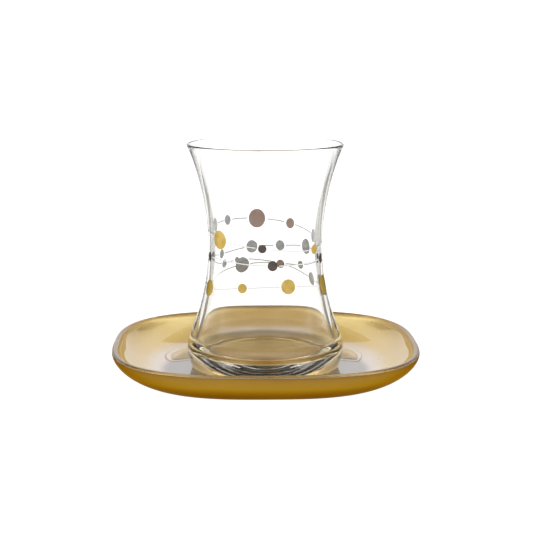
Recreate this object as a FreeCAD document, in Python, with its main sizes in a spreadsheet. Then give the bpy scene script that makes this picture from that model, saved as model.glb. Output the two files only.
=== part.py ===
import FreeCAD, Part
import math
import os

import Sketcher

# A small hour-glass tea glass with a heavy base, standing on a soft-square pressed glass
# saucer.  Millimetres, +Z up, origin on the table at the middle of the saucer's underside.

doc = FreeCAD.newDocument("tea_glass_and_saucer")

# ---------------------------------------------------------------------------- driving sizes

sheet = doc.addObject("Spreadsheet::Sheet", "sizes")

SIZES = [
    # saucer
    ("saucer_width", 118.8, "over the rim, side to side"),
    ("saucer_height", 13.6, "table to the top of the rim"),
    ("saucer_wall", 2.4, "glass thickness at the rim"),
    ("saucer_floor", 3.1, "table to the flat the glass stands on"),
    ("saucer_foot_width", 74.0, "over the flat bottom, side to side"),
    ("rim_squareness", 2.85, "superellipse power of the plan at the rim"),
    ("foot_squareness", 3.0, "superellipse power of the plan at the foot"),
    ("wall_fullness", 1.68, "superellipse power of the rising wall"),
    ("rim_softening", 1.1, "round on both edges of the rim"),
    ("recess_width", 56.0, "round recess in the underside"),
    ("recess_depth", 0.5, "its depth, which leaves a bearing ring"),
    # tea glass, heights from its own foot
    ("glass_height", 87.9, "foot to rim"),
    ("lip_radius", 30.3, "outside radius at the lip"),
    ("lip_wall", 1.2, "glass thickness at the lip"),
    ("waist_radius", 22.2, "outside radius at the waist"),
    ("waist_height", 48.0, "foot to waist"),
    ("waist_wall", 2.2, "glass thickness at the waist"),
    ("belly_radius", 30.4, "outside radius at the widest place, low down"),
    ("belly_height", 8.0, "foot to the widest place"),
    ("belly_round", 16.7, "profile radius of the shoulder there"),
    ("foot_round", 3.0, "profile radius where the side meets the foot"),
    ("base_thickness", 6.2, "solid glass under the drink"),
    ("cavity_radius", 26.5, "inside radius at the widest place, low down"),
    ("cavity_round", 5.0, "profile radius where the inside wall meets its floor"),
    ("punt_radius", 24.0, "radius of the hollow under the foot"),
    ("punt_depth", 0.3, "its depth on the axis"),
]

for row, (alias, value, note) in enumerate(SIZES, start=1):
    sheet.set(f"A{row}", alias)
    sheet.set(f"B{row}", str(value))
    sheet.set(f"C{row}", note)
    sheet.setAlias(f"B{row}", alias)
doc.recompute()


def size(alias):
    """The value of one cell, for shapes that read the sheet directly."""
    return float(sheet.get(alias))


# ---------------------------------------------------------------------------- saucer

PLAN_POINTS = 32
WALL_STEPS = 8
RIM_STEPS = 4


def soft_square(half_width, power, height):
    """A closed smooth curve: a superellipse in plan, sampled evenly by its angle."""
    points = []
    for step in range(PLAN_POINTS):
        turn = 2 * math.pi * step / PLAN_POINTS
        reach = (abs(math.cos(turn)) ** power + abs(math.sin(turn)) ** power) ** (-1 / power)
        x = half_width * reach * math.cos(turn)
        y = half_width * reach * math.sin(turn)
        points.append(FreeCAD.Vector(x, y, height))
    curve = Part.BSplineCurve()
    curve.interpolate(points, PeriodicFlag=True)
    return Part.Wire(curve.toShape())


def loft(name, plans):
    """A smooth solid through a stack of plans."""
    sections = []
    for number, plan in enumerate(plans):
        section = doc.addObject("Part::Feature", f"{name}_section_{number}")
        section.Shape = plan
        sections.append(section)
    solid = doc.addObject("Part::Loft", name)
    solid.Sections = sections
    solid.Solid = True
    solid.Ruled = False
    return solid


def bowl_block(name, low, rim_half_width, rim_lean):
    """A solid bowl form: a wall that widens as it rises, then a rounded shoulder at the rim.

    The shoulder leans in over the glass (rim_lean -1) or out over it (rim_lean +1).
    """
    foot_half_width = size("saucer_foot_width") / 2
    softening = min(size("rim_softening"), size("saucer_wall") / 2)
    shoulder = size("saucer_height") - softening

    wall = []
    for step in range(WALL_STEPS + 1):
        lean = math.pi / 2 * step / WALL_STEPS
        out = math.sin(lean) ** (2 / size("wall_fullness"))
        up = 1 - math.cos(lean) ** (2 / size("wall_fullness"))
        half_width = foot_half_width + out * (rim_half_width - foot_half_width)
        power = size("foot_squareness") + out * (size("rim_squareness") - size("foot_squareness"))
        wall.append(soft_square(half_width, power, low + up * (shoulder - low)))

    rim = []
    for step in range(RIM_STEPS + 1):
        turn = math.pi / 2 * step / RIM_STEPS
        half_width = rim_half_width + rim_lean * softening * (1 - math.cos(turn))
        height = shoulder + softening * math.sin(turn)
        rim.append(soft_square(half_width, size("rim_squareness"), height))

    block = doc.addObject("Part::Fuse", name)
    block.Base = loft(f"{name}_wall", wall)
    block.Tool = loft(f"{name}_rim", rim)
    return block


def make_saucer():
    """Outer bowl less inner bowl less the round recess in the underside."""
    outer_half_width = size("saucer_width") / 2
    inner_half_width = outer_half_width - size("saucer_wall")
    bowl = doc.addObject("Part::Cut", "saucer_bowl")
    bowl.Base = bowl_block("saucer_outside", 0, outer_half_width, -1)
    bowl.Tool = bowl_block("saucer_inside", size("saucer_floor"), inner_half_width, 1)

    recess = doc.addObject("Part::Cylinder", "saucer_recess")
    recess.setExpression("Radius", "sizes.recess_width / 2")
    recess.setExpression("Height", "sizes.recess_depth")
    saucer = doc.addObject("Part::Cut", "saucer_solid")
    saucer.Base = bowl
    saucer.Tool = recess
    saucer.Label = "saucer"
    return saucer


# ---------------------------------------------------------------------------- tea glass

START = 1
END = 2
CENTRE = 3
ORIGIN = (-1, 1)
AXIS_ACROSS = -1
AXIS_UP = -2


def arc_between(centre, start, end, clockwise=False):
    """A sketch arc about a centre; Sketcher arcs run anticlockwise from start to end."""
    if clockwise:
        start, end = end, start
    middle = FreeCAD.Vector(centre[0], centre[1], 0)
    radius = math.dist(centre, start)
    circle = Part.Circle(middle, FreeCAD.Vector(0, 0, 1), radius)
    first = math.atan2(start[1] - centre[1], start[0] - centre[0])
    last = math.atan2(end[1] - centre[1], end[0] - centre[0])
    return Part.ArcOfCircle(circle, first, last)


def line_between(start, end):
    return Part.LineSegment(FreeCAD.Vector(*start, 0), FreeCAD.Vector(*end, 0))


def lower_waist_radius(waist, rise, bulge_centre, bulge):
    """Radius of the hollow arc that leaves a waist upright and meets a bulge below it."""
    aside = waist - bulge_centre
    return (aside ** 2 + rise ** 2 - bulge ** 2) / (2 * (bulge - aside))


def upper_waist_radius(waist, lip, rise):
    """Radius of the hollow arc that leaves a waist upright and reaches the lip."""
    aside = lip - waist
    return (rise ** 2 + aside ** 2) / (2 * aside)


def draw_profile(sketch):
    """Half section of the glass: nine arcs and three lines, each size bound to its cell."""
    height = size("waist_height")
    lip_height = size("glass_height") - size("lip_wall") / 2
    inner_waist = size("waist_radius") - size("waist_wall")
    inner_lip = size("lip_radius") - size("lip_wall")

    corner = (size("cavity_radius") - size("cavity_round"),
              size("base_thickness") + size("cavity_round"))
    inner_low = lower_waist_radius(inner_waist, height - corner[1], corner[0],
                                   size("cavity_round"))
    inner_high = upper_waist_radius(inner_waist, inner_lip, lip_height - height)
    belly = (size("belly_radius") - size("belly_round"), size("belly_height"))
    outer_low = lower_waist_radius(size("waist_radius"), height - belly[1], belly[0],
                                   size("belly_round"))
    outer_high = upper_waist_radius(size("waist_radius"), size("lip_radius"),
                                    lip_height - height)

    def toward(from_point, to_point, distance):
        share = distance / math.dist(from_point, to_point)
        return tuple(a + share * (b - a) for a, b in zip(from_point, to_point))

    inner_low_centre = (inner_waist + inner_low, height)
    outer_low_centre = (size("waist_radius") + outer_low, height)
    foot_reach = math.sqrt((size("belly_round") - size("foot_round")) ** 2
                           - (belly[1] - size("foot_round")) ** 2)
    foot = (belly[0] + foot_reach, size("foot_round"))
    punt = (size("punt_depth") ** 2 - size("punt_radius") ** 2) / (2 * size("punt_depth"))

    on_floor = (0, size("base_thickness"))
    floor_end = (corner[0], size("base_thickness"))
    cavity_meet = toward(corner, inner_low_centre, size("cavity_round"))
    inside_waist = (inner_waist, height)
    inside_lip = (inner_lip, lip_height)
    outside_lip = (size("lip_radius"), lip_height)
    outside_waist = (size("waist_radius"), height)
    belly_meet = toward(belly, outer_low_centre, size("belly_round"))
    foot_meet = toward(belly, foot, size("belly_round"))
    foot_end = (foot[0], 0)
    punt_end = (size("punt_radius"), 0)
    punt_top = (0, size("punt_depth"))

    pieces = [
        line_between(on_floor, floor_end),
        arc_between(corner, floor_end, cavity_meet),
        arc_between(inner_low_centre, cavity_meet, inside_waist, clockwise=True),
        arc_between((inner_waist + inner_high, height), inside_waist, inside_lip, clockwise=True),
        arc_between(((inner_lip + size("lip_radius")) / 2, lip_height), inside_lip, outside_lip,
                    clockwise=True),
        arc_between((size("waist_radius") + outer_high, height), outside_lip, outside_waist),
        arc_between(outer_low_centre, outside_waist, belly_meet),
        arc_between(belly, belly_meet, foot_meet, clockwise=True),
        arc_between(foot, foot_meet, foot_end, clockwise=True),
        line_between(foot_end, punt_end),
        arc_between((0, punt), punt_end, punt_top),
        line_between(punt_top, on_floor),
    ]
    (floor, round_in, low_in, high_in, lip, high_out,
     low_out, shoulder, heel, base, hollow, axis) = sketch.addGeometry(pieces, False)

    # the ends of each piece in walking order; a clockwise arc is stored the other way round
    walk = [(floor, START, END), (round_in, START, END), (low_in, END, START),
            (high_in, END, START), (lip, END, START), (high_out, START, END),
            (low_out, START, END), (shoulder, END, START), (heel, END, START),
            (base, START, END), (hollow, START, END), (axis, START, END)]
    smooth = {(floor, round_in), (round_in, low_in), (low_out, shoulder), (shoulder, heel),
              (heel, base)}
    for here, following in zip(walk, walk[1:] + walk[:1]):
        kind = "Tangent" if (here[0], following[0]) in smooth else "Coincident"
        sketch.addConstraint(
            Sketcher.Constraint(kind, here[0], here[2], following[0], following[1]))

    def from_axis(piece, point, expression):
        value = sketch.getPoint(piece, point).x
        bind(Sketcher.Constraint("DistanceX", *ORIGIN, piece, point, value), expression)

    def from_foot(piece, point, expression):
        value = sketch.getPoint(piece, point).y
        bind(Sketcher.Constraint("DistanceY", *ORIGIN, piece, point, value), expression)

    def round_of(piece, expression):
        value = sketch.Geometry[piece].Radius
        bind(Sketcher.Constraint("Radius", piece, value), expression)

    def bind(constraint, expression):
        number = sketch.addConstraint(constraint)
        sketch.setExpression(f"Constraints[{number}]", expression)

    sketch.addConstraint([
        Sketcher.Constraint("Horizontal", floor),
        Sketcher.Constraint("Horizontal", base),
        Sketcher.Constraint("Symmetric", lip, START, lip, END, lip, CENTRE),
        Sketcher.Constraint("Horizontal", lip, START, lip, END),
        Sketcher.Constraint("PointOnObject", base, START, AXIS_ACROSS),
        Sketcher.Constraint("PointOnObject", hollow, CENTRE, AXIS_UP),
        Sketcher.Constraint("PointOnObject", axis, START, AXIS_UP),
        Sketcher.Constraint("PointOnObject", axis, END, AXIS_UP),
    ])

    from_foot(floor, START, "sizes.base_thickness")
    from_axis(round_in, CENTRE, "sizes.cavity_radius - sizes.cavity_round")
    round_of(round_in, "sizes.cavity_round")
    from_axis(low_in, START, "sizes.waist_radius - sizes.waist_wall")
    from_foot(low_in, START, "sizes.waist_height")
    from_axis(lip, END, "sizes.lip_radius - sizes.lip_wall")
    from_axis(lip, START, "sizes.lip_radius")
    from_foot(lip, START, "sizes.glass_height - sizes.lip_wall / 2")
    from_axis(low_out, START, "sizes.waist_radius")
    from_foot(low_out, START, "sizes.waist_height")
    from_axis(shoulder, CENTRE, "sizes.belly_radius - sizes.belly_round")
    from_foot(shoulder, CENTRE, "sizes.belly_height")
    round_of(shoulder, "sizes.belly_round")
    round_of(heel, "sizes.foot_round")
    from_axis(base, END, "sizes.punt_radius")
    from_foot(axis, START, "sizes.punt_depth")
    for waist_arc in (low_in, high_in, low_out, high_out):
        from_foot(waist_arc, CENTRE, "sizes.waist_height")


def make_tea_glass():
    """The half section turned once round the axis, standing on the saucer's flat."""
    body = doc.addObject("PartDesign::Body", "tea_glass_body")
    sketch = body.newObject("Sketcher::SketchObject", "half_section")
    planes = [part for part in body.Origin.OriginFeatures if part.Role == "XZ_Plane"]
    sketch.AttachmentSupport = (planes[0], [""])
    sketch.MapMode = "FlatFace"
    draw_profile(sketch)
    doc.recompute()

    turned = body.newObject("PartDesign::Revolution", "turned")
    turned.Profile = sketch
    turned.ReferenceAxis = (sketch, ["V_Axis"])
    turned.Angle = 360.0
    body.setExpression("Placement.Base.z", "sizes.saucer_floor")
    body.Label = "tea_glass"
    return body


# ---------------------------------------------------------------------------- build and write

sub_parts = [make_saucer(), make_tea_glass()]
doc.recompute()

for thing in doc.Objects:
    if "Invalid" in thing.State or "Error" in thing.State:
        raise RuntimeError(f"{thing.Name} failed: {thing.State}")

os.makedirs("parts", exist_ok=True)
for sub_part in sub_parts:
    shape = sub_part.Shape
    if shape.isNull() or not shape.isValid() or len(shape.Solids) != 1:
        raise RuntimeError(f"{sub_part.Label} is not one valid solid")
    shape.exportStep(f"parts/{sub_part.Label}.step")
    box = shape.optimalBoundingBox(False)
    print(f"{sub_part.Label}: {shape.Volume / 1000:.2f} cm3, "
          f"x {box.XMin:.2f}..{box.XMax:.2f}, z {box.ZMin:.2f}..{box.ZMax:.2f}")
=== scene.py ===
import math

import bpy
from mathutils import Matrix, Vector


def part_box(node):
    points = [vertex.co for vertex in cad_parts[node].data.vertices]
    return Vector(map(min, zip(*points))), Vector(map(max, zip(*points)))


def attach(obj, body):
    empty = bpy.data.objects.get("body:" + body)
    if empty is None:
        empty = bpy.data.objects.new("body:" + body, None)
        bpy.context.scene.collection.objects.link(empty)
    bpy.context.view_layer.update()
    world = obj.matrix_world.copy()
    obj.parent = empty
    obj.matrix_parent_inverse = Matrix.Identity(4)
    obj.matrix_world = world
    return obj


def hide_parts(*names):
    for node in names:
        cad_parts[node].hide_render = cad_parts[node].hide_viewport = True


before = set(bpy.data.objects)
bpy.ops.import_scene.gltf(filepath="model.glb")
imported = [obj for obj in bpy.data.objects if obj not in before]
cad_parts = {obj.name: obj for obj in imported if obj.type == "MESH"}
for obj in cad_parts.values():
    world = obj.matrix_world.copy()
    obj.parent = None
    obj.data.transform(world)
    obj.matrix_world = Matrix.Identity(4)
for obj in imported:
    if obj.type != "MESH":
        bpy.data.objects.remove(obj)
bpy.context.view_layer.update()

# ---------------------------------------------------------------------------------- tea glass
# An hour-glass tea glass of clear soda-lime glass, machine blown, with a thick solid base and
# a fire-polished lip.  It stands loose on the saucer, on the ring round its hollowed foot.

MM = 0.001
FOOT_LIFT = 0.02 * MM
TURN_SEGMENTS = 256

glass_low, glass_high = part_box("tea_glass")
glass_foot = glass_low.z + FOOT_LIFT
lip_radius = 30.3 * MM
lip_wall = 1.2 * MM
lip_height = glass_high.z - lip_wall / 2
waist_radius = 22.2 * MM
waist_height = glass_foot + 48.0 * MM
waist_wall = 2.2 * MM
belly_round = 16.7 * MM
belly_centre = (glass_high.x - belly_round, glass_foot + 8.0 * MM)
foot_round = 3.0 * MM
punt_radius = 24.0 * MM
punt_depth = 0.3 * MM
floor_height = glass_foot + 6.2 * MM
cavity_radius = 26.5 * MM
cavity_round = 5.0 * MM
cavity_centre = (cavity_radius - cavity_round, floor_height + cavity_round)


def toward(start, end, distance):
    """The point that lies a distance from start in the direction of end."""
    share = distance / math.dist(start, end)
    return tuple(a + share * (b - a) for a, b in zip(start, end))


def arc(centre, start, end, count):
    """Points on the shorter arc about a centre, without its first point."""
    first = math.atan2(start[1] - centre[1], start[0] - centre[0])
    last = math.atan2(end[1] - centre[1], end[0] - centre[0])
    sweep = (last - first + math.pi) % (2 * math.pi) - math.pi
    radius = math.dist(centre, start)
    angles = [first + sweep * step / count for step in range(1, count + 1)]
    return [(centre[0] + radius * math.cos(a), centre[1] + radius * math.sin(a)) for a in angles]


def line(start, end, count):
    """Evenly spaced points on a straight run, without its first point."""
    return [toward(start, end, math.dist(start, end) * step / count)
            for step in range(1, count + 1)]


def waist_centre_to_lip(waist, lip):
    """Centre of the hollow arc that leaves the waist upright and reaches the lip."""
    aside, rise = lip - waist, lip_height - waist_height
    return (waist + (rise ** 2 + aside ** 2) / (2 * aside), waist_height)


def waist_centre_to_bulge(waist, bulge_centre, bulge):
    """Centre of the hollow arc that leaves the waist upright and runs into a bulge below."""
    aside, drop = waist - bulge_centre[0], waist_height - bulge_centre[1]
    return (waist + (aside ** 2 + drop ** 2 - bulge ** 2) / (2 * (bulge - aside)), waist_height)


def glass_outline():
    """From the hollow under the foot, up the outside, over the lip and down to the floor."""
    inner_waist = waist_radius - waist_wall
    inner_lip = lip_radius - lip_wall
    lip_middle = (lip_radius - lip_wall / 2, lip_height)
    heel_reach = math.sqrt((belly_round - foot_round) ** 2
                           - (belly_centre[1] - glass_foot - foot_round) ** 2)
    heel = (belly_centre[0] + heel_reach, glass_foot + foot_round)
    low_out = waist_centre_to_bulge(waist_radius, belly_centre, belly_round)
    low_in = waist_centre_to_bulge(inner_waist, cavity_centre, cavity_round)
    high_out = waist_centre_to_lip(waist_radius, lip_radius)
    high_in = waist_centre_to_lip(inner_waist, inner_lip)
    punt_centre = (0, glass_foot + (punt_depth ** 2 - punt_radius ** 2) / (2 * punt_depth))

    points = [(0, glass_foot + punt_depth)]
    points += arc(punt_centre, points[-1], (punt_radius, glass_foot), 14)
    points += line(points[-1], (heel[0], glass_foot), 3)
    points += arc(heel, points[-1], toward(belly_centre, heel, belly_round), 10)
    points += arc(belly_centre, points[-1], toward(belly_centre, low_out, belly_round), 16)
    points += arc(low_out, points[-1], (waist_radius, waist_height), 34)
    points += arc(high_out, points[-1], (lip_radius, lip_height), 34)
    points += arc(lip_middle, points[-1], (lip_middle[0], lip_height + lip_wall / 2), 5)
    points += arc(lip_middle, points[-1], (inner_lip, lip_height), 5)
    points += arc(high_in, points[-1], (inner_waist, waist_height), 34)
    points += arc(low_in, points[-1], toward(cavity_centre, low_in, cavity_round), 30)
    points += arc(cavity_centre, points[-1], (cavity_centre[0], floor_height), 20)
    points += line(points[-1], (0, floor_height), 14)
    return points


class Value:
    """One output of a node.  Python's operators on it add Math nodes to the same tree."""

    def __init__(self, bench, socket):
        self.bench = bench
        self.socket = socket

    def __getitem__(self, name):
        return Value(self.bench, self.socket.node.outputs[name])

    def maths(self, operation, first, second=0.0):
        return self.bench.node("ShaderNodeMath", {"operation": operation}, {0: first, 1: second})

    def __add__(self, other):
        return self.maths("ADD", self, other)

    def __sub__(self, other):
        return self.maths("SUBTRACT", self, other)

    def __rsub__(self, other):
        return self.maths("SUBTRACT", other, self)

    def __mul__(self, other):
        return self.maths("MULTIPLY", self, other)

    def __truediv__(self, other):
        return self.maths("DIVIDE", self, other)

    def __rtruediv__(self, other):
        return self.maths("DIVIDE", other, self)

    def __pow__(self, other):
        return self.maths("POWER", self, other)

    def __mod__(self, other):
        return self.maths("FLOORED_MODULO", self, other)

    def __lt__(self, other):
        return self.maths("LESS_THAN", self, other)

    def __gt__(self, other):
        return self.maths("GREATER_THAN", self, other)

    __radd__ = __add__
    __rmul__ = __mul__


class Bench:
    """A node tree being put together, for a shape or for a finish."""

    def __init__(self, tree):
        self.tree = tree

    def node(self, kind, settings=None, sockets=None):
        """One node: its settings, then a value or a link for each socket.  Gives output 0."""
        made = self.tree.nodes.new(kind)
        for name, value in (settings or {}).items():
            if name == "stops":
                self.set_stops(made.color_ramp, value)
            else:
                setattr(made, name, value)
        self.plug(made, sockets or {})
        return Value(self, made.outputs[0]) if made.outputs else made

    def plug(self, made, sockets):
        for name, value in sockets.items():
            if isinstance(value, Value):
                self.tree.links.new(value.socket, made.inputs[name])
            else:
                made.inputs[name].default_value = value

    def set_stops(self, ramp, stops):
        while len(ramp.elements) < len(stops):
            ramp.elements.new(1.0)
        for element, (place, colour) in zip(ramp.elements, stops):
            element.position = place
            element.color = (*colour, 1.0)


class Shape(Bench):
    """A Geometry Nodes tree with named inputs that is run once and leaves a plain mesh."""

    def __init__(self, name, inputs):
        super().__init__(bpy.data.node_groups.new(name, "GeometryNodeTree"))
        self.tree.interface.new_socket("Geometry", in_out="INPUT",
                                       socket_type="NodeSocketGeometry")
        for label, kind in inputs.items():
            self.tree.interface.new_socket(label, in_out="INPUT",
                                           socket_type=f"NodeSocket{kind}")
        self.tree.interface.new_socket("Geometry", in_out="OUTPUT",
                                       socket_type="NodeSocketGeometry")
        self.given = self.node("NodeGroupInput")

    def attribute(self, name, kind="FLOAT"):
        return self.node("GeometryNodeInputNamedAttribute", {"data_type": kind}, {"Name": name})

    def store(self, geometry, name, value, kind="FLOAT"):
        return self.node("GeometryNodeStoreNamedAttribute", {"data_type": kind},
                         {"Geometry": geometry, "Name": name, "Value": value})

    def sample(self, geometry, value, index, kind="FLOAT"):
        return self.node("GeometryNodeSampleIndex", {"data_type": kind},
                         {"Geometry": geometry, "Value": value, "Index": index})

    def vector_maths(self, operation, sockets):
        return self.node("ShaderNodeVectorMath", {"operation": operation}, sockets)

    def smooth_but_for_corners(self, geometry, corner):
        """Smooth shading that stays crisp where two faces meet at more than a corner angle."""
        rounded = self.node("GeometryNodeSetShadeSmooth", {"domain": "FACE"},
                            {"Geometry": geometry})
        bend = self.node("GeometryNodeInputMeshEdgeAngle")
        return self.node("GeometryNodeSetShadeSmooth", {"domain": "EDGE"},
                         {"Geometry": rounded, "Selection": bend > corner, "Shade Smooth": False})

    def finish(self, geometry, finishes):
        """Ends the tree: real geometry, then each finish on its share of the faces."""
        geometry = self.node("GeometryNodeRealizeInstances", {}, {"Geometry": geometry})
        for material, selection in finishes:
            geometry = self.node("GeometryNodeSetMaterial", {},
                                 {"Geometry": geometry, "Selection": selection,
                                  "Material": material})
        self.node("NodeGroupOutput", {}, {"Geometry": geometry})

    def run(self, name, start, values):
        """Runs the tree on some starting data and gives a finished object at the origin."""
        source = bpy.data.objects.new(f"{name}_start", start)
        bpy.context.scene.collection.objects.link(source)
        modifier = source.modifiers.new("shape", "NODES")
        modifier.node_group = self.tree
        for item in self.tree.interface.items_tree:
            if item.in_out == "INPUT" and item.name in values:
                modifier[item.identifier] = values[item.name]
        bpy.context.view_layer.update()
        seen = source.evaluated_get(bpy.context.evaluated_depsgraph_get())
        mesh = bpy.data.meshes.new_from_object(seen)
        mesh.name = name
        bpy.data.objects.remove(source)
        piece = bpy.data.objects.new(name, mesh)
        bpy.context.scene.collection.objects.link(piece)
        return piece


def turned_shape():
    """Carries an outline once round the axis, each level with its own plan.

    An outline point's squareness is the power of a superellipse: 2 is round, 3 and more is a
    soft square.  Faces between points marked as filmed take the film's finish.
    """
    shape = Shape("turned_form", {"Segments": "Int", "Body": "Material", "Film": "Material"})
    outline = shape.given
    count = shape.node("GeometryNodeAttributeDomainSize", {"component": "MESH"},
                       {"Geometry": outline})
    grid = shape.node("GeometryNodeMeshGrid", {}, {
        "Size X": 1.0, "Size Y": 1.0, "Vertices X": outline["Segments"] + 1, "Vertices Y": count})
    index = shape.node("GeometryNodeInputIndex")
    step = index % count
    turn = (index - step) / count * math.tau / outline["Segments"]
    place = shape.sample(outline, shape.node("GeometryNodeInputPosition"), step, "FLOAT_VECTOR")
    level = shape.node("ShaderNodeSeparateXYZ", {}, {0: place})
    power = shape.sample(outline, shape.attribute("squareness"), step)
    filmed = shape.sample(outline, shape.attribute("filmed"), step)

    across = turn.maths("COSINE", turn)
    along = turn.maths("SINE", turn)
    reach = (across.maths("ABSOLUTE", across) ** power
             + along.maths("ABSOLUTE", along) ** power) ** (-1 / power)
    half_width = level["X"] * reach
    moved = shape.node("ShaderNodeCombineXYZ", {}, {
        0: half_width * across, 1: half_width * along, 2: level["Z"]})
    marked = shape.store(grid, "filmed", filmed)
    form = shape.node("GeometryNodeSetPosition", {}, {"Geometry": marked, "Position": moved})
    form = shape.node("GeometryNodeMergeByDistance", {}, {"Geometry": form, "Distance": 1e-6})
    form = shape.smooth_but_for_corners(form, math.radians(50))
    shape.finish(form, [(outline["Body"], True),
                        (outline["Film"], shape.attribute("filmed") > 0.5)])
    return shape


def outline_mesh(name, points, squareness, filmed):
    """An outline as loose points in the X-Z plane, with what each level needs to know."""
    mesh = bpy.data.meshes.new(name)
    mesh.from_pydata([(across, 0, up) for across, up in points], [], [])
    for label, values in (("squareness", squareness), ("filmed", filmed)):
        mesh.attributes.new(label, "FLOAT", "POINT").data.foreach_set("value", values)
    return mesh


class Finish(Bench):
    """A material on one Principled shader."""

    def __init__(self, name, **sockets):
        self.material = bpy.data.materials.new(name)
        self.material.use_nodes = True
        super().__init__(self.material.node_tree)
        self.surface = self.tree.nodes["Principled BSDF"]
        self.plug(self.surface, {key.replace("_", " "): value for key, value in sockets.items()})

    def place(self):
        return self.node("ShaderNodeTexCoord")["Object"]

    def noise(self, scale, detail=2.0):
        return self.node("ShaderNodeTexNoise", {},
                         {"Vector": self.place(), "Scale": scale, "Detail": detail})

    def blend(self, share, low, high):
        mix = self.node("ShaderNodeMix", {"data_type": "RGBA"}, {"Factor": share})
        made = mix.socket.node
        self.plug(made, {6: low, 7: high})
        return Value(self, made.outputs[2])

    def relief(self, height, depth, strength=1.0):
        bump = self.node("ShaderNodeBump", {},
                         {"Height": height, "Distance": depth, "Strength": strength})
        self.plug(self.surface, {"Normal": bump})


def clear_glass():
    """Water-clear glass with the long waves of a blow mould. Its thick base and the glass up to 22
    mm are tinted amber by height: painted shade and a painted reflection of the gold saucer.
    """
    finish = Finish("clear_glass", Roughness=0.0, IOR=1.5, Transmission_Weight=1.0)
    height = finish.node("ShaderNodeSeparateXYZ", {}, {0: finish.place()})["Z"]
    painted_shade_span = 100 * MM
    # Amber tint by height, darkest about 7 mm up, amber again near 20 mm and clear from 22.5 mm:
    # painted shade and a painted reflection of the gold saucer in the base, not a colour of the
    # glass.
    painted_base_shade = finish.node("ShaderNodeValToRGB", {"stops": [
        (0.05, (0.84, 0.61, 0.27)), (0.07, (0.62, 0.46, 0.24)), (0.09, (0.86, 0.81, 0.70)),
        (0.19, (0.73, 0.62, 0.31)), (0.20, (0.75, 0.64, 0.34)), (0.225, (0.985, 0.99, 0.985))]},
        {0: height / painted_shade_span})
    finish.plug(finish.surface, {"Base Color": painted_base_shade})
    finish.relief(finish.noise(34.0, 1.0), 0.05 * MM, 0.1)
    return finish.material


glass_material = clear_glass()
turned = turned_shape()
outline = glass_outline()
round_plan = [2.0] * len(outline)
no_film = [0.0] * len(outline)
tea_glass = turned.run(
    "drinking_glass", outline_mesh("glass_outline", outline, round_plan, no_film),
    {"Segments": TURN_SEGMENTS, "Body": glass_material, "Film": glass_material})
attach(tea_glass, "root")
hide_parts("tea_glass")

# ---------------------------------------------------------------------------------- saucer
# A soft-square saucer pressed from clear glass, with a rounded rim and a round recess below.
# Its whole underside, up to the rim, carries a gold lustre fired on as a thin metal film.

saucer_low, saucer_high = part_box("saucer")

rim_half_width = saucer_high.x - 0.08 * MM
bearing_height = 0.06 * MM
rim_height = saucer_high.z
saucer_wall = 2.4 * MM
rim_softening = 1.1 * MM
saucer_floor = glass_low.z
foot_half_width = 37.0 * MM
recess_radius = 28.0 * MM
recess_depth = 0.5 * MM
recess_softening = 1.2 * MM
wall_fullness = 1.68
foot_power = 3.0
rim_power = 2.85
film_stops_below_rim = 0.6 * MM


def wall_point(low, rim, share):
    """A point on the rising wall, at a share of the way from the foot to the rim's shoulder."""
    lean = share * math.pi / 2
    out = math.sin(lean) ** (2 / wall_fullness)
    up = 1 - math.cos(lean) ** (2 / wall_fullness)
    shoulder = rim_height - rim_softening
    half_width = foot_half_width + out * (rim - foot_half_width)
    return (half_width, low + up * (shoulder - low)), foot_power + out * (rim_power - foot_power)


def saucer_outline():
    """From the recess, out under the foot, up the wall, over the rim and back to the middle."""
    steps = 40
    inner_rim = rim_half_width - saucer_wall
    shoulder = rim_height - rim_softening
    ceiling = bearing_height + recess_depth
    recess_flat = recess_radius - recess_softening
    outline = [((0, ceiling), 2.0)]
    outline += [(point, 2.0) for point in line((0, ceiling), (recess_flat, ceiling), 16)]
    outline += [((recess_flat + 2 * recess_softening * share,
                  ceiling - recess_depth * share * share * (3 - 2 * share)), 2.0)
                for share in (0.1, 0.2, 0.35, 0.5, 0.65, 0.8, 0.9, 1.0)]
    outline += [(wall_point(bearing_height, rim_half_width, step / steps))
                for step in range(steps + 1)]
    outline += [(point, rim_power) for point in arc((rim_half_width - rim_softening, shoulder),
                                                    (rim_half_width, shoulder),
                                                    (rim_half_width - rim_softening, rim_height), 6)]
    outline += [(point, rim_power) for point in arc((inner_rim + rim_softening, shoulder),
                                                    (inner_rim + rim_softening, rim_height),
                                                    (inner_rim, shoulder), 6)]
    outline += [(wall_point(saucer_floor, inner_rim, step / steps))
                for step in range(steps - 1, -1, -1)]
    flat = line((foot_half_width, saucer_floor), (0, saucer_floor), 18)
    outline += [(point, 2.0 + (foot_power - 2.0) * point[0] / foot_half_width) for point in flat]
    return outline


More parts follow.
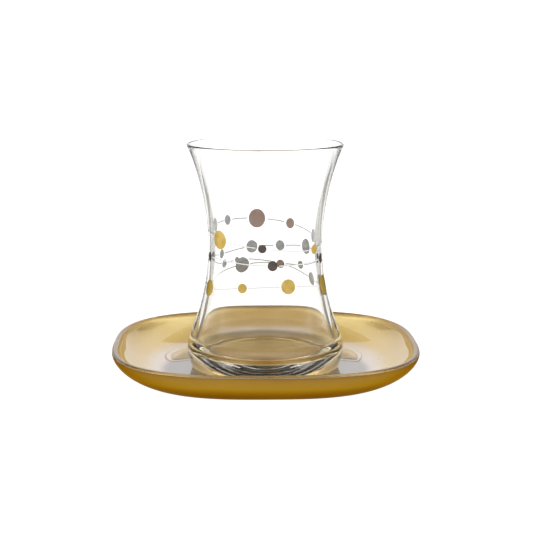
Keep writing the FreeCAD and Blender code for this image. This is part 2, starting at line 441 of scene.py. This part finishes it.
def gold_lustre():
    """The fired gold film seen through the glass: deep yellow on the wall; pale on the flat, partly
    its own iridescence and partly a painted reflection of the white backdrop; grey round the glass's
    foot as a painted reflection of the glass; a duller beige under the glass as painted shade.
    """
    finish = Finish("gold_lustre", Metallic=1.0)
    across = finish.node("ShaderNodeVectorMath", {"operation": "LENGTH"},
                         {0: finish.node("ShaderNodeVectorMath", {"operation": "MULTIPLY"},
                                         {0: finish.place(), 1: (1.0, 1.0, 0.0)})})["Value"]
    height = finish.node("ShaderNodeSeparateXYZ", {}, {0: finish.place()})["Z"]

    def between(value, low, high):
        return finish.node("ShaderNodeMapRange", {"interpolation_type": "SMOOTHSTEP"},
                           {"Value": value, "From Min": low, "From Max": high})

    cloud = finish.noise(45.0, 3.0)
    wall = finish.blend(cloud, (0.90, 0.66, 0.20, 1), (0.98, 0.82, 0.43, 1))
    # Pale cream on the flat: partly the lustre's own iridescence, partly a painted reflection of the
    # white backdrop.
    flat = finish.blend(cloud, (0.98, 0.93, 0.88, 1), (0.98, 0.90, 0.87, 1))
    # Grey round the glass's foot, fully from 30 to 38 mm out and gone by 43 mm: a painted reflection
    # of the glass in the film.
    foot = finish.blend(cloud, (0.46, 0.45, 0.46, 1), (0.54, 0.50, 0.50, 1))
    flat = finish.blend(between(across, 38 * MM, 43 * MM), foot, flat)
    # Inside 27 to 30 mm, under the glass, a duller beige: painted shade under the glass.
    flat = finish.blend(between(across, 27 * MM, 30 * MM), (0.84, 0.76, 0.62, 1), flat)
    finish.plug(finish.surface, {
        "Base Color": finish.blend(between(height, 0.5 * MM, 3.3 * MM), flat, wall),
        "Roughness": 0.24 + finish.noise(300.0) * 0.12,
    })
    finish.relief(finish.noise(220.0, 3.0), 0.03 * MM, 0.4)
    return finish.material


def lustre_back():
    """The same film from its own side, duller and more of an olive gold, with painted shade by
    height: dark at the foot, a painted highlight band a little past half way up, darker again
    towards the rim.
    """
    finish = Finish("lustre_back", Metallic=1.0)
    height = finish.node("ShaderNodeSeparateXYZ", {}, {0: finish.place()})["Z"]
    # Painted shade and a painted highlight by height, a little uneven: darkest at the foot, lightest
    # a little past half way up, darker again towards the rim.
    painted_shade_by_height = finish.node("ShaderNodeValToRGB", {"stops": [
        (0.08, (0.12, 0.06, 0.010)), (0.3, (0.24, 0.125, 0.012)), (0.6, (0.36, 0.21, 0.028)),
        (0.85, (0.29, 0.16, 0.025)), (0.97, (0.20, 0.11, 0.03))]},
        {0: height / rim_height + finish.noise(38.0, 3.0) * 0.2 - 0.1})
    finish.plug(finish.surface, {
        "Specular Tint": (0.5, 0.35, 0.12, 1),
        "Base Color": painted_shade_by_height,
        "Roughness": 0.34 + finish.noise(300.0) * 0.1,
    })
    finish.relief(finish.noise(220.0, 3.0), 0.03 * MM, 0.3)
    return finish.material


def pressed_glass():
    """The same clear glass, pressed in a mould, so a little less even on top."""
    finish = Finish("pressed_glass", Base_Color=(0.99, 0.985, 0.97, 1), Roughness=0.0, IOR=1.5,
                    Transmission_Weight=1.0)
    finish.relief(finish.noise(55.0, 1.0), 0.06 * MM, 0.4)
    return finish.material


outline = saucer_outline()
film_top = rim_height - film_stops_below_rim
rim_start = next(i for i, (point, _) in enumerate(outline) if point[1] > film_top)
saucer = turned.run(
    "saucer_glass",
    outline_mesh("saucer_outline", [point for point, _ in outline], [power for _, power in outline],
                 [1.0 if i < rim_start else 0.0 for i in range(len(outline))]),
    {"Segments": TURN_SEGMENTS, "Body": pressed_glass(), "Film": gold_lustre()})
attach(saucer, "root")
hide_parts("saucer")

# ---------------------------------------------------------------------------------- lustre coat
# The gold lustre as it is seen from outside and below.  It is a liquid metal preparation
# brushed over the whole underside and fired, and it lies on the glass as a film.

film_gap = 0.01 * MM
film_depth = 0.04 * MM


def stand_off(outline, distance):
    """The same outline moved out from the glass; its ends stay on the axis and at its height."""
    moved = []
    for number, (point, power) in enumerate(outline):
        before = outline[max(number - 1, 0)][0]
        after = outline[min(number + 1, len(outline) - 1)][0]
        along = (after[0] - before[0], after[1] - before[1])
        length = math.hypot(*along)
        moved.append(((point[0] + distance * along[1] / length,
                       point[1] - distance * along[0] / length), power))
    moved[0] = ((0, moved[0][0][1]), moved[0][1])
    return moved


underside = outline[:rim_start]
coat = stand_off(underside, film_depth) + stand_off(underside, film_gap)[::-1]
back_finish = lustre_back()
lustre = turned.run(
    "lustre_coat",
    outline_mesh("coat_outline", [point for point, _ in coat], [power for _, power in coat],
                 [0.0] * len(coat)),
    {"Segments": TURN_SEGMENTS, "Body": back_finish, "Film": back_finish})
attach(lustre, "root")

# ---------------------------------------------------------------------------------- dots
# Dots screen-printed on the outside of the glass in metal inks and fired: gold, bronze, brown
# and platinum.  Each string of dots goes round the glass, a little higher here and lower there.

# one string each: turn from the front to the right in degrees, height and radius in mm, ink
STRINGS = {
    "high": [(-52, 52.4, 3.6, "gold"), (-4, 50.2, 1.6, "brown"), (56, 48.5, 1.9, "gold"),
             (106, 50.9, 2.6, "platinum"), (150, 53.9, 2.0, "bronze"), (188, 55.5, 3.6, "bronze"),
             (225.5, 55.7, 1.9, "platinum"), (256, 55.1, 2.8, "platinum")],
    "middle": [(6, 43.7, 1.9, "brown"), (71, 44.2, 1.9, "brown"), (125, 45.8, 3.0, "platinum"),
               (162, 45.0, 2.0, "platinum"), (194, 44.5, 2.5, "platinum"),
               (238, 43.1, 1.8, "platinum"), (287, 44.9, 1.8, "brown")],
    "low": [(-23, 35.1, 1.8, "gold"), (21, 35.7, 2.8, "gold"), (73, 33.7, 4.0, "gold"),
            (116.5, 33.2, 2.7, "platinum"), (162, 37.3, 1.8, "bronze"), (205, 37.1, 3.3, "platinum"),
            (293, 33.1, 3.2, "gold")],
    "side": [(136, 37.8, 1.7, "platinum"), (212, 39.6, 1.1, "platinum"),
             (231.5, 38.8, 1.7, "platinum")],
}
PRESS_REACH = 45 * MM
PRINT_DEPTH = 0.04 * MM


def on_reach(turn, height, reach=PRESS_REACH):
    """A point off the glass at a turn from the front and a height over the glass's foot."""
    angle = math.radians(turn)
    return (reach * math.sin(angle), -reach * math.cos(angle), glass_foot + height * MM)


def cast_onto(shape, target, start, direction):
    """Where a straight line from a start meets the outside of the glass, and how it faces."""
    return shape.node("GeometryNodeRaycast", {}, {
        "Target Geometry": target, "Source Position": start, "Ray Direction": direction,
        "Ray Length": PRESS_REACH})


def printed_dots():
    """Thin round patches, pressed straight onto the glass so that they follow its curve."""
    shape = Shape("printed_dots", {"Glass": "Object", "Depth": "Float", "Ink": "Material"})
    target = shape.node("GeometryNodeObjectInfo", {}, {"Object": shape.given["Glass"]})
    disc = shape.node("GeometryNodeMeshCylinder", {}, {
        "Vertices": 48, "Side Segments": 1, "Fill Segments": 6, "Radius": 1.0, "Depth": 2.0})
    height = shape.node("ShaderNodeSeparateXYZ", {},
                        {0: shape.node("GeometryNodeInputPosition")})["Z"]
    disc = shape.store(disc, "face", height)

    place = shape.node("GeometryNodeInputPosition")
    level = shape.vector_maths("MULTIPLY", {0: place, 1: (1.0, 1.0, 0.0)})
    outward = shape.vector_maths("NORMALIZE", {0: level})
    points = shape.store(shape.given, "outward", outward, "FLOAT_VECTOR")
    facing = shape.node("FunctionNodeAlignRotationToVector", {"axis": "Z"}, {"Vector": outward})
    upright = shape.node("FunctionNodeAlignRotationToVector", {"axis": "Y", "pivot_axis": "Z"},
                         {"Rotation": facing, "Vector": (0.0, 0.0, 1.0)})
    radius = shape.attribute("radius")
    scale = shape.node("ShaderNodeCombineXYZ", {}, {0: radius, 1: radius, 2: 0.0})
    discs = shape.node("GeometryNodeInstanceOnPoints", {}, {
        "Points": points, "Instance": disc, "Rotation": upright, "Scale": scale})
    discs = shape.node("GeometryNodeRealizeInstances", {}, {"Geometry": discs})

    outward = shape.attribute("outward", "FLOAT_VECTOR")
    inward = shape.vector_maths("SCALE", {0: outward, "Scale": -1.0})
    hit = cast_onto(shape, target["Geometry"], place, inward)
    raised = shape.vector_maths("SCALE", {
        0: hit["Hit Normal"], "Scale": shape.attribute("face") * shape.given["Depth"]})
    settled = shape.vector_maths("ADD", {0: hit["Hit Position"], 1: raised})
    patches = shape.node("GeometryNodeSetPosition", {}, {"Geometry": discs, "Position": settled})
    patches = shape.smooth_but_for_corners(patches, math.radians(40))
    shape.finish(patches, [(shape.given["Ink"], True)])
    return shape


def ink(name, deep, pale, metallic, roughness):
    """Fired metal ink: a fine grain of brighter and duller specks."""
    finish = Finish(name, Metallic=metallic, Specular_Tint=(0.15, 0.14, 0.12, 1))
    grain = finish.noise(2600.0, 3.0)
    blotch = finish.noise(320.0, 1.0)
    finish.plug(finish.surface, {
        "Base Color": finish.blend(grain * 0.8 + blotch * 1.4 - 0.6, deep, pale),
        "Roughness": roughness + finish.noise(1500.0) * 0.2,
    })
    finish.relief(grain, 0.02 * MM, 0.5)
    return finish.material


INKS = {
    "gold": ink("gold_ink", (0.44, 0.29, 0.05, 1), (0.68, 0.50, 0.17, 1), 0.85, 0.3),
    "bronze": ink("bronze_ink", (0.30, 0.19, 0.11, 1), (0.36, 0.12, 0.045, 1), 0.8, 0.35),
    "brown": ink("brown_ink", (0.07, 0.055, 0.05, 1), (0.13, 0.10, 0.09, 1), 0.7, 0.35),
    "platinum": ink("platinum_ink", (0.28, 0.28, 0.275, 1), (0.44, 0.44, 0.43, 1), 0.85, 0.35),
}


def points_mesh(name, dots, reach):
    mesh = bpy.data.meshes.new(name)
    mesh.from_pydata([on_reach(turn, height, reach) for turn, height, _, _ in dots], [], [])
    radii = [radius * MM for _, _, radius, _ in dots]
    mesh.attributes.new("radius", "FLOAT", "POINT").data.foreach_set("value", radii)
    return mesh


dot_shape = printed_dots()
all_dots = [dot for string in STRINGS.values() for dot in string]
for name, material in INKS.items():
    dots = [dot for dot in all_dots if dot[3] == name]
    print_of_ink = dot_shape.run(f"{name}_dots", points_mesh(f"{name}_points", dots, PRESS_REACH),
                                 {"Glass": tea_glass, "Depth": PRINT_DEPTH, "Ink": material})
    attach(print_of_ink, "root")

# ---------------------------------------------------------------------------------- strings
# Thin white enamel lines that join the dots of each string, printed with them.  Every line
# stops just short of a dot, so that the inks don't run together in the kiln.

STRING_WIDTH = 0.42 * MM
STRING_GAP = 0.45 * MM


def printed_strings():
    """Lines laid on the glass along a path, broken at each dot, with a flat narrow section."""
    shape = Shape("printed_strings", {
        "Glass": "Object", "Dots": "Object", "Width": "Float", "Depth": "Float", "Gap": "Float",
        "Ink": "Material"})
    target = shape.node("GeometryNodeObjectInfo", {}, {"Object": shape.given["Glass"]})
    dots = shape.node("GeometryNodeObjectInfo", {}, {"Object": shape.given["Dots"]})["Geometry"]
    place = shape.node("GeometryNodeInputPosition")

    path = shape.node("GeometryNodeResampleCurve", {"mode": "LENGTH"},
                      {"Curve": shape.given, "Length": 0.5 * MM})
    level = shape.vector_maths("MULTIPLY", {0: place, 1: (1.0, 1.0, 0.0)})
    outward = shape.vector_maths("NORMALIZE", {0: level})
    inward = shape.vector_maths("SCALE", {0: outward, "Scale": -1.0})
    away = shape.vector_maths("SCALE", {0: outward, "Scale": PRESS_REACH})
    height = shape.node("ShaderNodeSeparateXYZ", {}, {0: place})["Z"]
    start = shape.vector_maths("ADD", {
        0: away, 1: shape.node("ShaderNodeCombineXYZ", {}, {2: height})})
    hit = cast_onto(shape, target["Geometry"], start, inward)
    path = shape.node("GeometryNodeSetPosition", {},
                      {"Geometry": path, "Position": hit["Hit Position"]})

    edges = shape.node("GeometryNodeCurveToMesh", {}, {"Curve": path})
    nearest = shape.node("GeometryNodeSampleNearest", {}, {"Geometry": dots})
    centre = shape.sample(dots, place, nearest, "FLOAT_VECTOR")
    radius = shape.sample(dots, shape.attribute("radius"), nearest)
    distance = shape.vector_maths("DISTANCE", {0: place, 1: centre})["Value"]
    edges = shape.node("GeometryNodeDeleteGeometry", {"domain": "POINT"}, {
        "Geometry": edges, "Selection": distance < radius + shape.given["Gap"]})
    lines = shape.node("GeometryNodeMeshToCurve", {}, {"Mesh": edges})
    lines = shape.node("GeometryNodeSetCurveNormal", {"mode": "Z_UP"}, {"Curve": lines})
    section = shape.node("GeometryNodeCurvePrimitiveQuadrilateral", {}, {
        "Width": shape.given["Depth"] * 2, "Height": shape.given["Width"]})
    ribbons = shape.node("GeometryNodeCurveToMesh", {}, {
        "Curve": lines, "Profile Curve": section, "Fill Caps": True})
    ribbons = shape.smooth_but_for_corners(ribbons, math.radians(40))
    shape.finish(ribbons, [(shape.given["Ink"], True)])
    return shape


def string_paths():
    """A smooth curve through each string's dots; the side string ends at the middle one's."""
    curve = bpy.data.curves.new("string_paths", "CURVE")
    curve.dimensions = "3D"
    curve.resolution_u = 24
    middle = STRINGS["middle"]
    routes = {name: (dots, True) for name, dots in STRINGS.items() if name != "side"}
    routes["side"] = ([middle[1], *STRINGS["side"], middle[-1]], False)
    for dots, closed in routes.values():
        spline = curve.splines.new("BEZIER")
        spline.bezier_points.add(len(dots) - 1)
        spline.use_cyclic_u = closed
        for knot, (turn, height, _, _) in zip(spline.bezier_points, dots):
            knot.co = on_reach(turn, height, waist_radius)
            knot.handle_left_type = knot.handle_right_type = "AUTO"
    return curve


def white_enamel():
    """Opaque white enamel, softly glossy, a little uneven where the screen laid it."""
    finish = Finish("white_enamel", Roughness=0.35)
    finish.plug(finish.surface, {"Base Color": finish.blend(
        finish.noise(1800.0), (0.72, 0.72, 0.72, 1), (0.84, 0.84, 0.84, 1))})
    return finish.material


dot_centres = bpy.data.objects.new("dot_centres", points_mesh("centres", all_dots, waist_radius))
strings = printed_strings().run("dot_strings", string_paths(), {
    "Glass": tea_glass, "Dots": dot_centres, "Width": STRING_WIDTH, "Depth": PRINT_DEPTH,
    "Gap": STRING_GAP, "Ink": white_enamel()})
bpy.data.objects.remove(dot_centres)
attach(strings, "root")

# ---------------------------------------------------------------------------------- studio
# A white table that runs back out of sight, under a white sky that is brighter high up in front
# and dimmer low down in front.  Cards out of the picture put grey edges on the clear glass.

TABLE_REACH = 60.0
SHADE_START, SHADE_END = 20 * MM, 40 * MM


def white_table():
    """A table lit from within, as white as the sky, with a shaded patch under the saucer."""
    finish = Finish("white_table", Base_Color=(0.3, 0.3, 0.3, 1), Roughness=0.9,
                    Emission_Strength=1.0, Specular_IOR_Level=0.0)
    from_axis = finish.node("ShaderNodeVectorMath", {"operation": "LENGTH"},
                            {0: finish.place()})["Value"]
    lit = finish.node("ShaderNodeMapRange", {"interpolation_type": "SMOOTHSTEP"},
                      {"Value": from_axis, "From Min": SHADE_START, "From Max": SHADE_END})
    finish.plug(finish.surface, {"Emission Color": finish.blend(
        lit, (0.1, 0.1, 0.1, 1), (1.0, 1.0, 1.0, 1))})
    return finish.material


def studio_mesh(name, corners, material):
    """A staged object of flat faces, four corners to each."""
    mesh = bpy.data.meshes.new(name)
    mesh.from_pydata(corners, [], [tuple(range(first, first + 4))
                                   for first in range(0, len(corners), 4)])
    mesh.materials.append(material)
    staged = bpy.data.objects.new(name, mesh)
    bpy.context.scene.collection.objects.link(staged)
    return staged


studio_mesh("table", [(aside * TABLE_REACH, along * TABLE_REACH, 0)
                      for aside, along in ((-1, -1), (1, -1), (1, 1), (-1, 1))], white_table())

# Cards stand beside the glass, dark at the foot and again high up, and a strip hangs above it,
# all out of the picture.  They draw its edges and its lip.
CARD_NEAR, CARD_FAR = 65 * MM, 300 * MM
STRIP_HALF, STRIP_NEAR, STRIP_FAR, STRIP_HEIGHT = 56 * MM, -350 * MM, 450 * MM, 280 * MM


def card(name, corners, shade):
    """A dull card that the camera doesn't see."""
    material = Finish(name, Base_Color=(*shade, 1), Roughness=0.9).material
    studio_mesh(name, corners, material).visible_camera = False


def beside(aside, low, high):
    """Corners of a pair of upright cards, one on each side, between two heights."""
    return [(side * aside, along, up) for side in (-1, 1)
            for along, up in ((CARD_NEAR, low), (CARD_FAR, low), (CARD_FAR, high),
                              (CARD_NEAR, high))]


card("foot_cards", beside(130 * MM, 0, 14 * MM), (0.20, 0.18, 0.15))
card("pale_cards", beside(130 * MM, 14 * MM, 70 * MM), (0.65, 0.64, 0.62))
card("high_cards", beside(190 * MM, 110 * MM, 260 * MM), (0.22, 0.17, 0.10))
card("strip", [(side * STRIP_HALF, along, STRIP_HEIGHT) for side, along in (
    (-1, STRIP_NEAR), (1, STRIP_NEAR), (1, STRIP_FAR), (-1, STRIP_FAR))], (0.34, 0.25, 0.12))

world = bpy.data.worlds.new("studio")
world.use_nodes = True
bpy.context.scene.world = world
sky = Bench(world.node_tree)
direction = sky.node("ShaderNodeSeparateXYZ", {}, {0: sky.node("ShaderNodeTexCoord")})

around = direction["Z"].maths("ARCTAN2", direction["Z"], direction["Y"]) / math.pi
brightness = sky.node("ShaderNodeValToRGB", {"stops": [
    (0.0, (0.74, 0.74, 0.74)), (0.57, (0.74, 0.74, 0.74)), (0.63, (0.96, 0.96, 0.96)),
    (0.74, (0.96, 0.96, 0.96)), (0.80, (0.63, 0.63, 0.63))]}, {0: around})
sky.plug(world.node_tree.nodes["Background"], {"Color": brightness, "Strength": 1.55})

# The camera stands in front and looks a little down, a touch round to one side.
CAMERA_TURN = math.radians(-1.2)
CAMERA_TILT = math.radians(9.84)
CAMERA_DISTANCE = 579.0 * MM
CAMERA_HEIGHT = 143.3 * MM
CAMERA_ASIDE = 0.5 * MM

lens = bpy.data.cameras.new("camera")
lens.lens = 102.0
lens.sensor_width = 36.0
lens.clip_start = 0.01
camera = bpy.data.objects.new("camera", lens)
bpy.context.scene.collection.objects.link(camera)
camera.location = (
    CAMERA_ASIDE * math.cos(CAMERA_TURN) + CAMERA_DISTANCE * math.sin(CAMERA_TURN),
    CAMERA_ASIDE * math.sin(CAMERA_TURN) - CAMERA_DISTANCE * math.cos(CAMERA_TURN),
    CAMERA_HEIGHT,
)
camera.rotation_euler = (math.pi / 2 - CAMERA_TILT, 0.0, CAMERA_TURN)
bpy.context.scene.camera = camera

bpy.context.scene.view_settings.view_transform = "Standard"
bpy.context.scene.cycles.max_bounces = 32
bpy.context.scene.cycles.transmission_bounces = 24
bpy.context.scene.cycles.glossy_bounces = 12
